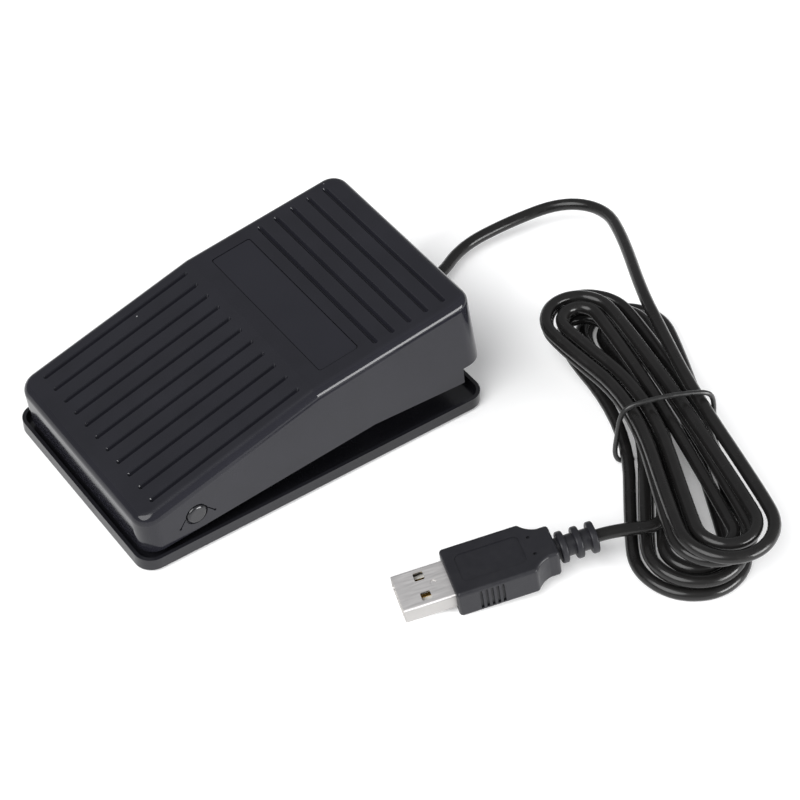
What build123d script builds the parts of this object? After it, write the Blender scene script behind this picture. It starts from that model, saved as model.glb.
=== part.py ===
from build123d import *
import os
from math import atan2, cos, hypot, pi, radians, sin, tan

os.makedirs("parts", exist_ok=True)

# USB foot pedal switch, a free-standing pedal with its cable in a hank.
# Millimetres. The ground is z = 0 under the rubber feet, the heel end lies towards -Y and the cable leaves at +Y.

# One length by which every cut runs past the surface that it opens
overrun = 1.0

# Base tray
tray_width = 64.4
tray_length = 104.0
tray_corner_radius = 4.8
tray_wall = 1.0
tray_floor = 1.6
tray_height = 3.8
tray_edge_radius = 0.5

# Rubber feet in pockets of the tray
foot_proud = 0.6
foot_pocket_depth = 0.8
foot_diameter = 10.0
foot_pocket_clearance = 0.1
foot_inset = 8.5

tray_bottom = foot_proud
floor_top = tray_bottom + tray_floor

# Pivot line of the pedal, across the tray near its front
pivot_setback = 16.35
pivot_rise = 11.1
pivot_y = -tray_length / 2 + pivot_setback
pivot_z = tray_bottom + pivot_rise

# Pedal cover, drawn in its own lengthwise direction and tilted up at rest
cover_tilt = 5.8
cover_wall = 2.2
cover_side_clearance = 0.5
cover_front_clearance = 0.35
cover_rear_inset = 0.05
skirt_drop = 5.5
front_rise = 6.32
crease_run = 37.85
crease_rise = 16.84
rear_rise = 18.9
rear_wall_lean = 1.8
rear_foot_drop = 4.3
rear_overhang = 6.9
skirt_foot_drop = 9.4
skirt_foot_length = 1.0
skirt_bend_run = 53.0
cover_corner_radius = 5.0
cover_edge_radius = 2.6

cover_half_width = tray_width / 2 - tray_wall - cover_side_clearance
cover_inner_half = cover_half_width - cover_wall
front_run = pivot_setback - tray_wall - cover_front_clearance
rear_foot_run = tray_length - pivot_setback - cover_rear_inset
rear_top_run = rear_foot_run - rear_wall_lean
notch_run = rear_foot_run - rear_overhang

# Tread grooves of the front slope, and cross grooves of the rear plate
tread_groove_count = 11
tread_groove_pitch = 5.18
tread_groove_width = 1.4
tread_groove_depth = 0.9
tread_groove_front_margin = 5.9
tread_groove_crease_margin = 2.3
cross_groove_count = 5
cross_groove_pitch = 5.2
cross_groove_rear_margin = 6.6
cross_groove_length = 53.6
groove_draft = 34.0

# Label recess and its bare label
label_length = 50.0
label_width = 11.9
label_recess_depth = 0.5
label_crease_margin = 4.6
label_corner_radius = 0.8
label_edge_clearance = 0.2
label_thickness = 0.35

# Pivot ears of the tray and the studs pressed into them
ear_thickness = 2.5
ear_clearance = 0.4
ear_radius = 4.3
stud_head_diameter = 5.6
stud_running_clearance = 0.08
stud_shank_diameter = 3.4
stud_dome_height = 0.9
stud_recess = 0.3
hole_rim_diameter = 6.3
hole_rim_depth = 0.35

# Snap slits from the stud's hole, that let the cover spring over the stud
slit_width = 0.3
slit_root_run = 2.7
slit_root_rise = 0.8
slit_run = 5.0
slit_drop = 2.2
slit_end_diameter = 0.7

# Circuit board on its posts
board_width = 34.0
board_length = 38.0
board_thickness = 1.6
board_center_y = -6.0
board_standoff = 2.8
board_screw_inset = 2.6
board_hole_diameter = 2.7
post_diameter = 4.8
screw_shank_diameter = 2.4
screw_head_diameter = 4.2
screw_head_height = 1.5
screw_slot_width = 0.7
screw_slot_depth = 0.6
screw_depth = 3.6

board_bottom = floor_top + board_standoff
board_top = board_bottom + board_thickness

# Snap switch on the board, with its lever under the cover's post
switch_length = 19.8
switch_width = 6.4
switch_height = 10.2
switch_corner_radius = 0.6
lever_pivot_inset = 1.5
lever_pivot_rise = 1.2
lever_axle_diameter = 1.0
lever_axle_clearance = 0.06
lever_lug_thickness = 0.9
lever_lug_gap = 0.2
lever_lug_radius = 1.1
lever_barrel_radius = 0.85
lever_width = 3.6
lever_thickness = 0.4
lever_length = 21.0
lever_rest_angle = 14.6
plunger_setback = 5.0
plunger_diameter = 2.2
plunger_clearance = 0.08
plunger_lever_gap = 0.12
plunger_depth = 3.0
plunger_travel_room = 1.6
terminal_width = 1.6
terminal_thickness = 0.5
terminal_pitch = 7.3
terminal_drop = 1.2
terminal_hole_clearance = 0.3

switch_top = board_top + switch_height
lever_pivot_y = -switch_length / 2 + lever_pivot_inset
lever_pivot_z = switch_top + lever_pivot_rise

# Post under the cover that pushes the lever
push_post_diameter = 4.0
push_post_y = 10.0
push_post_gap = 0.45
push_post_dome = 1.6

# Return spring between the tray's spigot and the cover's seat
spring_y = 26.0
spring_outer_diameter = 10.0
spring_wire_diameter = 1.0
spring_turns = 7
spring_length = 22.0
spigot_clearance = 0.4
spigot_height = 5.0
seat_diameter = 12.0
seat_spigot_clearance = 1.2
seat_spigot_height = 3.0

# Small parts on the board
chip_length = 10.0
chip_width = 4.0
chip_height = 1.5
chip_lead_count = 8
chip_lead_pitch = 1.27
chip_lead_width = 0.4
chip_lead_reach = 1.0
chip_lead_thickness = 0.2
chip_standoff = 0.1
crystal_length = 11.0
crystal_width = 4.6
crystal_height = 3.5
capacitor_diameter = 4.0
capacitor_height = 5.5
capacitor_spacing = 6.0
capacitor_score = 0.4
resistor_length = 3.2
resistor_width = 1.6
resistor_height = 0.6
resistor_spacing = 3.0
resistor_gap = 0.2
resistor_count = 3
parts_side_x = 9.5

# Cable, its grommet in the tray's rear wall and its clamp
cable_diameter = 3.3
cable_x = -11.0
cable_floor_gap = 0.1
cable_strip_y = 32.0
cable_z = floor_top + cable_diameter / 2 + cable_floor_gap
grommet_flange_radius = 2.9
grommet_neck_radius = 2.3
grommet_flange_thickness = 1.2
grommet_groove_clearance = 0.05
grommet_boot_length = 6.0
grommet_boot_tip_radius = 2.2
clamp_y = 39.0
clamp_length = 17.0
clamp_width = 6.0
clamp_thickness = 1.8
clamp_post_diameter = 4.6
clamp_post_spacing = 11.5
clamp_post_height = 3.0
clamp_hole_diameter = 2.7

# Wires from the cable to the header on the board
wire_diameter = 1.0
wire_spread = 0.62
header_pitch = 2.0
header_length = 9.6
header_width = 4.6
header_height = 5.0
header_rear_margin = 5.5
wire_entry_rise = 2.4
wire_plug_in = 1.2

# Plug at the cable's end, lying on its shell's tip with its tail end held up by the cable
plug_tip_x = 74.8
plug_tip_y = -6.7
plug_heading = 71.3
plug_pitch = 8.0
shell_width = 12.0
shell_height = 4.5
shell_wall = 0.3
shell_corner_radius = 0.7
shell_exposed = 13.0
shell_buried = 5.0
window_size = 2.5
window_corner_radius = 0.35
window_spacing = 6.3
window_setback = 6.4
dimple_diameter = 1.7
dimple_depth = 0.18
dimple_setback = 9.2
tongue_width = 10.6
tongue_thickness = 1.9
tongue_setback = 0.6
contact_width = 1.0
contact_thickness = 0.2
contact_length = 7.5
contact_pitch = 2.4
contact_setback = 1.2
mould_length = 27.0
mould_width = 15.6
mould_thickness = 8.4
mould_tail_width = 9.8
mould_straight_run = 20.2
mould_shoulder_run = 21.7
mould_shoulder_width = 12.2
mould_tail_run = 24.2
mould_edge_radius = 0.9
grip_count = 5
grip_pitch = 1.4
grip_width = 0.7
grip_depth = 0.5
grip_height = 6.4
grip_run = 8.6
panel_length = 16.4
panel_width = 8.8
panel_depth = 0.25
panel_radius = 1.5
panel_run = 10.9
pin_mark_diameter = 0.9
pin_mark_depth = 0.5
pin_mark_spacing = 5.4
pin_mark_run = 21.4
boot_length = 10.5
boot_core_diameter = 5.4
boot_rib_count = 3
boot_rib_width = 7.9
boot_rib_height = 7.4
boot_rib_radius = 3.4
boot_rib_edge_radius = 0.55
boot_rib_thickness = 1.8
boot_rib_gap = 0.9

# Hank of the spare cable: loops that spiral in and out on stacked levels, drawn in at a waist
hank_center = (67.5, 82.3)
hank_low_heading = -27.0
hank_up_heading = -10.5
level_gap = 0.6
loop_gap = 0.9
waist_gap = 1.1
inner_low_half = 4.4
inner_up_half = 3.9
low_reach = 57.0
up_reach = 45.5
low_swings = (-7.0, -5.0, 0.0, 4.0, 8.0)
up_swings = (-9.0, -5.0, 0.0, 4.0, 8.0)
level_lean_shares = (0.91, 0.45, 0.0, -0.76, -1.0)
level_slide_shares = (-0.61, -0.3, 0.0, 0.3, 0.61)
arc_share = 0.45
hank_start_run = 11.0
lead_join_run = 14.0

# Hand-chosen route of the lead from the grommet, and of the tail from the plug into the hank
lead_points = [
    (cable_x, 67.5, cable_z),
    (-19.0, 81.0, 3.0),
    (-18.3, 97.0, 4.6),
    (-14.2, 113.0, 7.2),
    (-2.5, 119.0, 9.8),
    (13.0, 112.3, 13.4),
]
tail_first_run = 5.0
crossing_level = 2
crossing_points = [(39.0, -6.0, "low"), (2.0, -1.2, "waist"), (-39.0, 4.0, "up"), (-40.0, -14.0, "up")]
hank_end_level = 4
hank_end_point = (-22.0, 12.6, "up")

# Tie over the waist, as points across the hank and above the ground
tie_diameter = 1.3
tie_reach = 6.0
tie_points = [
    (-10.8, 0.7),
    (-13.8, 1.4),
    (-15.4, 4.4),
    (-15.3, 9.5),
    (-14.9, 16.6),
    (-13.4, 19.8),
    (-9.2, 21.2),
    (-3.0, 21.5),
    (3.0, 21.1),
    (7.7, 19.9),
    (9.4, 16.6),
    (10.2, 9.4),
    (13.1, 2.8),
    (13.6, 0.7),
]


def cover_point(run, rise):
    """A point of the resting cover's side view, as world (y, z), from its run and rise at the pivot."""
    tilt = radians(cover_tilt)
    return (pivot_y + run * cos(tilt) - rise * sin(tilt), pivot_z + run * sin(tilt) + rise * cos(tilt))


def cover_top_rise(run):
    """How far the outer top of the cover stands above the pivot line at this run."""
    if run < crease_run:
        return front_rise + (run + front_run) * (crease_rise - front_rise) / (crease_run + front_run)
    return crease_rise + (run - crease_run) * (rear_rise - crease_rise) / (rear_top_run - crease_run)


def ceiling_height(y):
    """World height in the middle of the cover's roof at this y, where the posts below it end."""
    tilt = radians(cover_tilt)
    run = (y - pivot_y + crease_rise * sin(tilt)) / cos(tilt)
    return cover_point(run, cover_top_rise(run) - cover_wall / 2)[1]


def save(part, name):
    """Label one finished piece and write it as its own file."""
    part.label = name
    export_step(part, f"parts/{name}.step")


tilt_radians = radians(cover_tilt)
cover_side = Plane(origin=(0, pivot_y, pivot_z), x_dir=(0, cos(tilt_radians), sin(tilt_radians)), z_dir=(1, 0, 0))
foot_x = tray_width / 2 - foot_inset
foot_y = tray_length / 2 - foot_inset
foot_places = [(-foot_x, -foot_y), (foot_x, -foot_y), (-foot_x, foot_y), (foot_x, foot_y)]
board_screw_x = board_width / 2 - board_screw_inset
board_screw_y = board_length / 2 - board_screw_inset
board_screw_places = [
    (side_x * board_screw_x, board_center_y + side_y * board_screw_y) for side_x in (-1, 1) for side_y in (-1, 1)
]
clamp_screw_places = [(cable_x + side * clamp_post_spacing / 2, clamp_y) for side in (-1, 1)]
ear_outer_x = cover_inner_half - ear_clearance
spring_seat_z = floor_top + spring_length
spring_coil_radius = (spring_outer_diameter - spring_wire_diameter) / 2
spring_inner_radius = spring_outer_diameter / 2 - spring_wire_diameter

# Base tray: floor, rim, pivot ears, board posts, spring spigot and clamp posts in one moulding
with BuildPart() as base_tray:
    with BuildSketch(Plane.XY.offset(tray_bottom)):
        RectangleRounded(tray_width, tray_length, tray_corner_radius)
    extrude(amount=tray_height)
    with BuildSketch(Plane.XY.offset(floor_top)):
        RectangleRounded(tray_width - 2 * tray_wall, tray_length - 2 * tray_wall, tray_corner_radius - tray_wall)
    extrude(amount=tray_height, mode=Mode.SUBTRACT)
    outer_bottom = base_tray.faces().sort_by(Axis.Z)[0].edges()
    fillet(outer_bottom, tray_edge_radius)
    with BuildSketch(Plane.XY.offset(tray_bottom)):
        with Locations(*foot_places):
            Circle(foot_diameter / 2 + foot_pocket_clearance)
    extrude(amount=foot_pocket_depth, mode=Mode.SUBTRACT)
    for side in (-1, 1):
        inner_x = min(side * ear_outer_x, side * (ear_outer_x - ear_thickness))
        with BuildSketch(Plane.YZ.offset(inner_x)):
            with Locations((pivot_y, pivot_z)):
                Circle(ear_radius)
            with Locations((pivot_y, (pivot_z + tray_bottom + tray_floor / 2) / 2)):
                Rectangle(2 * ear_radius, pivot_z - tray_bottom - tray_floor / 2)
        extrude(amount=ear_thickness)
        with BuildSketch(Plane.YZ.offset(inner_x)):
            with Locations((pivot_y, pivot_z)):
                Circle(stud_shank_diameter / 2)
        extrude(amount=ear_thickness, mode=Mode.SUBTRACT)
    with BuildSketch(Plane.XY.offset(floor_top)):
        with Locations(*board_screw_places):
            Circle(post_diameter / 2)
    extrude(amount=board_standoff)
    with BuildSketch(Plane.XY.offset(floor_top)):
        with Locations((0, spring_y)):
            Circle(spring_inner_radius - spigot_clearance)
    extrude(amount=spigot_height)
    with BuildSketch(Plane.XY.offset(floor_top)):
        with Locations(*clamp_screw_places):
            Circle(clamp_post_diameter / 2)
    extrude(amount=clamp_post_height)
    with BuildSketch(Plane.XY.offset(board_top)):
        with Locations(*board_screw_places):
            Circle(screw_shank_diameter / 2)
    extrude(amount=-screw_depth, mode=Mode.SUBTRACT)
    with BuildSketch(Plane.XY.offset(floor_top + clamp_post_height + clamp_thickness)):
        with Locations(*clamp_screw_places):
            Circle(screw_shank_diameter / 2)
    extrude(amount=-screw_depth, mode=Mode.SUBTRACT)
    with BuildSketch(Plane.XZ.offset(-tray_length / 2 - overrun)):
        with Locations((cable_x, cable_z)):
            Circle(grommet_neck_radius + grommet_groove_clearance)
        with Locations((cable_x, cable_z + tray_height / 2)):
            Rectangle(2 * (grommet_neck_radius + grommet_groove_clearance), tray_height)
    extrude(amount=tray_wall + overrun, mode=Mode.SUBTRACT)
    with BuildSketch(Plane.XZ.offset(-tray_length / 2 + tray_wall)):
        with Locations((cable_x, cable_z)):
            Circle(grommet_flange_radius + grommet_groove_clearance)
    extrude(amount=grommet_flange_thickness + grommet_groove_clearance, mode=Mode.SUBTRACT)
save(base_tray.part, "base_tray")

# Pedal cover: one shell with its skirts, treads, posts and snap tongues, turning about the pivot line
outline = [
    (-front_run, -skirt_drop),
    (-front_run, front_rise),
    (crease_run, crease_rise),
    (rear_top_run, rear_rise),
    (rear_foot_run, -rear_foot_drop),
    (notch_run, -rear_foot_drop),
    (notch_run, -skirt_foot_drop),
    (notch_run - skirt_foot_length, -skirt_foot_drop),
    (skirt_bend_run, -skirt_drop),
]
hollow = [
    (-front_run, -skirt_foot_drop - cover_wall - overrun),
    (-front_run, front_rise),
    (crease_run, crease_rise),
    (rear_top_run, rear_rise),
    (rear_foot_run, -rear_foot_drop),
    (rear_foot_run, -skirt_foot_drop - cover_wall - overrun),
]
front_slope = atan2(crease_rise - front_rise, crease_run + front_run)
rear_slope = atan2(rear_rise - crease_rise, rear_top_run - crease_run)
front_slope_length = hypot(crease_rise - front_rise, crease_run + front_run)
rear_slope_length = hypot(rear_rise - crease_rise, rear_top_run - crease_run)


def top_plane(slope):
    """A plane on one facet of the cover's top, from the crease, with its y direction running rearward."""
    tilt = tilt_radians + slope
    crease_y, crease_z = cover_point(crease_run, crease_rise)
    return Plane(origin=(0, crease_y, crease_z), x_dir=(1, 0, 0), z_dir=(0, -sin(tilt), cos(tilt)))


front_top = top_plane(front_slope)
rear_top = top_plane(rear_slope)
tread_length = front_slope_length - tread_groove_front_margin - tread_groove_crease_margin
tread_middle = -tread_groove_crease_margin - tread_length / 2
cross_middle = rear_slope_length - cross_groove_rear_margin - cross_groove_pitch * (cross_groove_count - 1) / 2
label_middle = label_crease_margin + label_width / 2
push_post_tip = (
    lever_pivot_z
    + (push_post_y - lever_pivot_y) * tan(radians(lever_rest_angle))
    + (lever_thickness / 2 + push_post_gap) / cos(radians(lever_rest_angle))
)

with BuildPart() as pedal_cover:
    with BuildSketch(cover_side):
        with BuildLine():
            Polyline(*outline, close=True)
        make_face()
    extrude(amount=cover_half_width, both=True)
    front_and_rear = pedal_cover.faces().filter_by(lambda face: abs(face.normal_at().Y) > cos(2 * tilt_radians))
    upright = ShapeList([
        edge
        for face in (front_and_rear.sort_by(Axis.Y)[0], front_and_rear.sort_by(Axis.Y)[-1])
        for edge in face.edges()
        if abs(edge.tangent_at(0).X) < overrun / 2
    ])
    fillet(upright, cover_corner_radius)
    top_faces = pedal_cover.faces().filter_by(lambda face: face.normal_at().Z > cos(4 * tilt_radians))
    rim = [edge for edge in top_faces.edges() if len([face for face in top_faces if edge in face.edges()]) == 1]
    fillet(rim, cover_edge_radius)
    with BuildSketch(cover_side):
        with BuildLine():
            Polyline(*hollow, close=True)
        make_face()
        offset(amount=-cover_wall, kind=Kind.INTERSECTION)
    extrude(amount=cover_inner_half, both=True, mode=Mode.SUBTRACT)

    # Ruled grooves of the two facets, drafted towards their floors
    with BuildSketch(front_top):
        with Locations((0, tread_middle)):
            with GridLocations(tread_groove_pitch, tread_length, tread_groove_count, 1):
                SlotOverall(tread_length, tread_groove_width, rotation=90)
    extrude(amount=-tread_groove_depth, taper=groove_draft, mode=Mode.SUBTRACT)
    with BuildSketch(rear_top):
        with Locations((0, cross_middle)):
            with GridLocations(cross_groove_length, cross_groove_pitch, 1, cross_groove_count):
                SlotOverall(cross_groove_length, tread_groove_width)
    extrude(amount=-tread_groove_depth, taper=groove_draft, mode=Mode.SUBTRACT)
    with BuildSketch(rear_top):
        with Locations((0, label_middle)):
            RectangleRounded(label_length, label_width, label_corner_radius)
    extrude(amount=-label_recess_depth, mode=Mode.SUBTRACT)

    # Stud holes, each with a slit running down from either side
    for side in (-1, 1):
        outside = Plane(origin=cover_side.origin, x_dir=side * cover_side.x_dir, z_dir=(side, 0, 0))
        with BuildSketch(outside.offset(cover_half_width + overrun)):
            Circle(stud_head_diameter / 2 + stud_running_clearance)
        extrude(amount=-cover_wall - 2 * overrun, mode=Mode.SUBTRACT)
        with BuildSketch(outside.offset(cover_half_width)):
            Circle(hole_rim_diameter / 2)
        extrude(amount=-hole_rim_depth, mode=Mode.SUBTRACT)
        with BuildSketch(outside.offset(cover_half_width + overrun)):
            with BuildLine():
                for way in (-1, 1):
                    Line((way * slit_root_run, slit_root_rise), (way * slit_run, -slit_drop))
            trace(line_width=slit_width)
            with Locations((-slit_run, -slit_drop), (slit_run, -slit_drop)):
                Circle(slit_end_diameter / 2)
        extrude(amount=-cover_wall - 2 * overrun, mode=Mode.SUBTRACT)

    # Push post over the switch lever, with a domed tip
    with BuildSketch(Plane.XY.offset(push_post_tip)):
        with Locations((0, push_post_y)):
            Circle(push_post_diameter / 2)
    extrude(amount=ceiling_height(push_post_y) - push_post_tip)
    tip_edges = pedal_cover.edges().filter_by(
        lambda edge: edge.geom_type == GeomType.CIRCLE
        and abs(edge.center().Y - push_post_y) < overrun
        and abs(edge.center().Z - push_post_tip) < overrun / 10
    )
    fillet(tip_edges, push_post_dome)

    # Seat of the return spring, with a short spigot inside the coil
    with BuildSketch(Plane.XY.offset(spring_seat_z)):
        with Locations((0, spring_y)):
            Circle(seat_diameter / 2)
    extrude(amount=ceiling_height(spring_y - seat_diameter / 2) - spring_seat_z)
    with BuildSketch(Plane.XY.offset(spring_seat_z - seat_spigot_height)):
        with Locations((0, spring_y)):
            Circle(spring_inner_radius - seat_spigot_clearance)
    extrude(amount=seat_spigot_height)
save(pedal_cover.part, "pedal_cover")

# Bare label in its recess
with BuildPart() as label_plate:
    with BuildSketch(rear_top.offset(-label_recess_depth)):
        with Locations((0, label_middle)):
            RectangleRounded(
                label_length - 2 * label_edge_clearance, label_width - 2 * label_edge_clearance, label_corner_radius
            )
    extrude(amount=label_thickness)
save(label_plate.part, "label_plate")

# Pivot studs: shank pressed in the ear, head turning in the cover's hole, domed end
for side, name in ((-1, "pivot_stud_left"), (1, "pivot_stud_right")):
    with BuildPart() as stud:
        axis_plane = Plane(origin=(0, pivot_y, pivot_z), x_dir=(0, 1, 0), z_dir=(side, 0, 0))
        with BuildSketch(axis_plane.offset(ear_outer_x - ear_thickness)):
            Circle(stud_shank_diameter / 2)
        extrude(amount=ear_thickness)
        with BuildSketch(axis_plane.offset(ear_outer_x)):
            Circle(stud_head_diameter / 2)
        extrude(amount=cover_half_width - stud_recess + stud_dome_height - ear_outer_x)
        dome_rim = stud.edges().sort_by(Axis.X)[-1 if side > 0 else 0]
        fillet(dome_rim, stud_dome_height)
    save(stud.part, name)

# Rubber feet
foot_names = ("foot_front_left", "foot_front_right", "foot_rear_left", "foot_rear_right")
for name, place in zip(foot_names, foot_places):
    with BuildPart() as foot:
        with BuildSketch(Plane.XY):
            with Locations(place):
                Circle(foot_diameter / 2)
        extrude(amount=foot_proud + foot_pocket_depth)
    save(foot.part, name)

# Return spring: half-turn arcs, each in its own slant plane, so that the coil climbs without a kink
spring_pitch = (spring_length - spring_wire_diameter) / spring_turns
quarter_climb = spring_pitch / 4
slant_radius = hypot(spring_coil_radius, quarter_climb)
with BuildPart() as return_spring:
    with BuildLine() as coil:
        for half_turn in range(2 * spring_turns):
            side = 1 if half_turn % 2 == 0 else -1
            height = floor_top + spring_wire_diameter / 2 + half_turn * spring_pitch / 2
            ThreePointArc(
                (side * spring_coil_radius, spring_y, height),
                (0, spring_y + side * slant_radius, height + quarter_climb),
                (-side * spring_coil_radius, spring_y, height + 2 * quarter_climb),
            )
    with BuildSketch(Plane(origin=coil.line @ 0, z_dir=coil.line % 0)):
        Circle(spring_wire_diameter / 2)
    sweep(path=coil.line)
save(return_spring.part, "return_spring")

# Circuit board with its screw holes and the switch's terminal holes
terminal_places = [(0, index * terminal_pitch) for index in (-1, 0, 1)]
with BuildPart() as circuit_board:
    with BuildSketch(Plane.XY.offset(board_bottom)):
        with Locations((0, board_center_y)):
            RectangleRounded(board_width, board_length, board_screw_inset / 2)
        with Locations(*board_screw_places):
            Circle(board_hole_diameter / 2, mode=Mode.SUBTRACT)
        with Locations(*terminal_places):
            Rectangle(
                terminal_width + terminal_hole_clearance, terminal_thickness + terminal_hole_clearance,
                mode=Mode.SUBTRACT,
            )
    extrude(amount=board_thickness)
save(circuit_board.part, "circuit_board")


def add_screws(places, seat_z):
    """Slotted pan-head screws standing on the seat at these places, as solids of one node."""
    with BuildPart() as screws:
        with BuildSketch(Plane.XY.offset(seat_z)):
            with Locations(*places):
                Circle(screw_head_diameter / 2)
        extrude(amount=screw_head_height)
        fillet(screws.faces().sort_by(Axis.Z)[-len(places):].edges(), screw_head_height / 3)
        with BuildSketch(Plane.XY.offset(seat_z)):
            with Locations(*places):
                Circle(screw_shank_diameter / 2)
        extrude(amount=-screw_depth)
        with BuildSketch(Plane.XY.offset(seat_z + screw_head_height)):
            with Locations(*places):
                Rectangle(screw_head_diameter + overrun, screw_slot_width, rotation=45)
        extrude(amount=-screw_slot_depth, mode=Mode.SUBTRACT)
    return screws.part


save(add_screws(board_screw_places, board_top), "board_screws")

# Snap switch: case with two lugs for the lever and a bore for the plunger
plunger_y = lever_pivot_y + plunger_setback
lug_inner_x = lever_width / 2 + lever_lug_gap
with BuildPart() as switch_case:
    with BuildSketch(Plane.XY.offset(board_top)):
        Rectangle(switch_width, switch_length)
    extrude(amount=switch_height)
    fillet(switch_case.edges().filter_by(Axis.Z), switch_corner_radius)
    for side in (-1, 1):
        with BuildSketch(Plane.YZ.offset(side * (lug_inner_x + lever_lug_thickness / 2))):
            with Locations((lever_pivot_y, lever_pivot_z)):
                Circle(lever_lug_radius)
            with Locations((lever_pivot_y, (lever_pivot_z + switch_top) / 2 - lever_pivot_rise / 2)):
                Rectangle(2 * lever_lug_radius, 2 * lever_pivot_rise)
            with Locations((lever_pivot_y, lever_pivot_z)):
                Circle(lever_axle_diameter / 2 + lever_axle_clearance, mode=Mode.SUBTRACT)
        extrude(amount=lever_lug_thickness / 2, both=True)
    with BuildSketch(Plane.XY.offset(switch_top)):
        with Locations((0, plunger_y)):
            Circle(plunger_diameter / 2 + plunger_clearance)
    extrude(amount=-plunger_depth - plunger_travel_room, mode=Mode.SUBTRACT)
save(switch_case.part, "switch_case")

# Switch plunger under the lever
lever_slope = radians(lever_rest_angle)
plunger_front = plunger_setback - plunger_diameter / 2
plunger_top = (
    lever_pivot_z + plunger_front * tan(lever_slope) - lever_thickness / 2 / cos(lever_slope) - plunger_lever_gap
)
with BuildPart() as switch_plunger:
    with BuildSketch(Plane.XY.offset(switch_top - plunger_depth)):
        with Locations((0, plunger_y)):
            Circle(plunger_diameter / 2)
    extrude(amount=plunger_top - switch_top + plunger_depth)
    fillet(switch_plunger.faces().sort_by(Axis.Z)[-1].edges(), plunger_diameter / 5)
save(switch_plunger.part, "switch_plunger")

# Spring-steel lever with its barrel and axle
lever_side = Plane(
    origin=(0, lever_pivot_y, lever_pivot_z),
    x_dir=(0, cos(lever_slope), sin(lever_slope)),
    z_dir=(1, 0, 0),
)
with BuildPart() as switch_lever:
    with BuildSketch(lever_side):
        with Locations((lever_length / 2, 0)):
            SlotOverall(lever_length, lever_thickness)
        Circle(lever_barrel_radius)
    extrude(amount=lever_width / 2, both=True)
    with BuildSketch(lever_side):
        Circle(lever_axle_diameter / 2)
    extrude(amount=lug_inner_x + lever_lug_thickness, both=True)
save(switch_lever.part, "switch_lever")

# Switch terminals through the board
with BuildPart() as switch_terminals:
    with BuildSketch(Plane.XY.offset(board_bottom - terminal_drop)):
        with Locations(*terminal_places):
            Rectangle(terminal_width, terminal_thickness)
    extrude(amount=terminal_drop + board_thickness)
save(switch_terminals.part, "switch_terminals")

# Controller chip on its gull-wing leads
chip_center = (parts_side_x + chip_width / 4, board_center_y - board_length / 4)
with BuildPart() as controller_chip:
    with BuildSketch(Plane.XY.offset(board_top + chip_standoff)):
        with Locations(chip_center):
            Rectangle(chip_width, chip_length)
    extrude(amount=chip_height)
    chamfer(controller_chip.faces().sort_by(Axis.Z)[-1].edges(), chip_standoff)
    with BuildSketch(Plane.XY.offset(board_top)):
        with Locations(chip_center):
            with GridLocations(0, chip_lead_pitch, 1, chip_lead_count):
                Rectangle(chip_width + 2 * chip_lead_reach, chip_lead_width)
    extrude(amount=chip_standoff + chip_lead_thickness)
save(controller_chip.part, "controller_chip")

# Crystal can
crystal_y = board_center_y - board_length / 4
with BuildPart() as crystal_can:
    with BuildSketch(Plane.XY.offset(board_top)):
        with Locations((-parts_side_x, crystal_y)):
            SlotOverall(crystal_length, crystal_width, rotation=90)
    extrude(amount=crystal_height)
    fillet(crystal_can.faces().sort_by(Axis.Z)[-1].edges(), crystal_height / 8)
save(crystal_can.part, "crystal_can")

# Pair of capacitors
with BuildPart() as capacitors:
    with BuildSketch(Plane.XY.offset(board_top)):
        with Locations((parts_side_x, board_center_y + board_length / 6)):
            with GridLocations(0, capacitor_spacing, 1, 2):
                Circle(capacitor_diameter / 2)
    extrude(amount=capacitor_height)
    fillet(capacitors.faces().sort_by(Axis.Z)[-2:].edges(), capacitor_score)
save(capacitors.part, "capacitors")

# Row of chip resistors behind the crystal
resistor_half_row = (resistor_spacing * (resistor_count - 1) + resistor_width) / 2
resistor_y = crystal_y + crystal_length / 2 + resistor_gap + resistor_half_row
with BuildPart() as resistors:
    with BuildSketch(Plane.XY.offset(board_top)):
        with Locations((-parts_side_x, resistor_y)):
            with GridLocations(0, resistor_spacing, 1, resistor_count):
                Rectangle(resistor_length, resistor_width)
    extrude(amount=resistor_height)
save(resistors.part, "resistors")

# Header that takes the four wires
header_y = board_center_y + board_length / 2 - header_rear_margin - header_width / 2
wire_shares = (-1.5, -0.5, 0.5, 1.5)
with BuildPart() as wire_header:
    with BuildSketch(Plane.XY.offset(board_top)):
        with Locations((cable_x, header_y)):
            Rectangle(header_length, header_width)
    extrude(amount=header_height)
    chamfer(wire_header.faces().sort_by(Axis.Z)[-1].edges(), wire_diameter / 4)
    with BuildSketch(Plane.XZ.offset(-header_y - header_width / 2)):
        with Locations(*[(cable_x + share * header_pitch, board_top + wire_entry_rise) for share in wire_shares]):
            Circle(wire_diameter / 2)
    extrude(amount=wire_plug_in, mode=Mode.SUBTRACT)
save(wire_header.part, "wire_header")

# Four wires from the stripped cable end, up into the header
wire_names = ("wire_red", "wire_white", "wire_green", "wire_black")
for index, (name, share) in enumerate(zip(wire_names, wire_shares)):
    start_x = cable_x + (1 if share > 0 else -1) * wire_spread
    start_z = cable_z + (1 if index % 2 else -1) * wire_spread
    entry_x = cable_x + share * header_pitch
    entry_y = header_y + header_width / 2 - wire_plug_in
    entry_z = board_top + wire_entry_rise
    with BuildPart() as wire:
        with BuildLine() as wire_route:
            FilletPolyline(
                (start_x, cable_strip_y, start_z),
                (start_x, cable_strip_y - 4 * wire_diameter, start_z),
                (entry_x, header_y + header_width / 2 + 5 * wire_diameter, entry_z),
                (entry_x, entry_y, entry_z),
                radius=3 * wire_diameter,
            )
        with BuildSketch(Plane(origin=wire_route.line @ 0, z_dir=wire_route.line % 0)):
            Circle(wire_diameter / 2)
        sweep(path=wire_route.line)
    save(wire.part, name)

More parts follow.
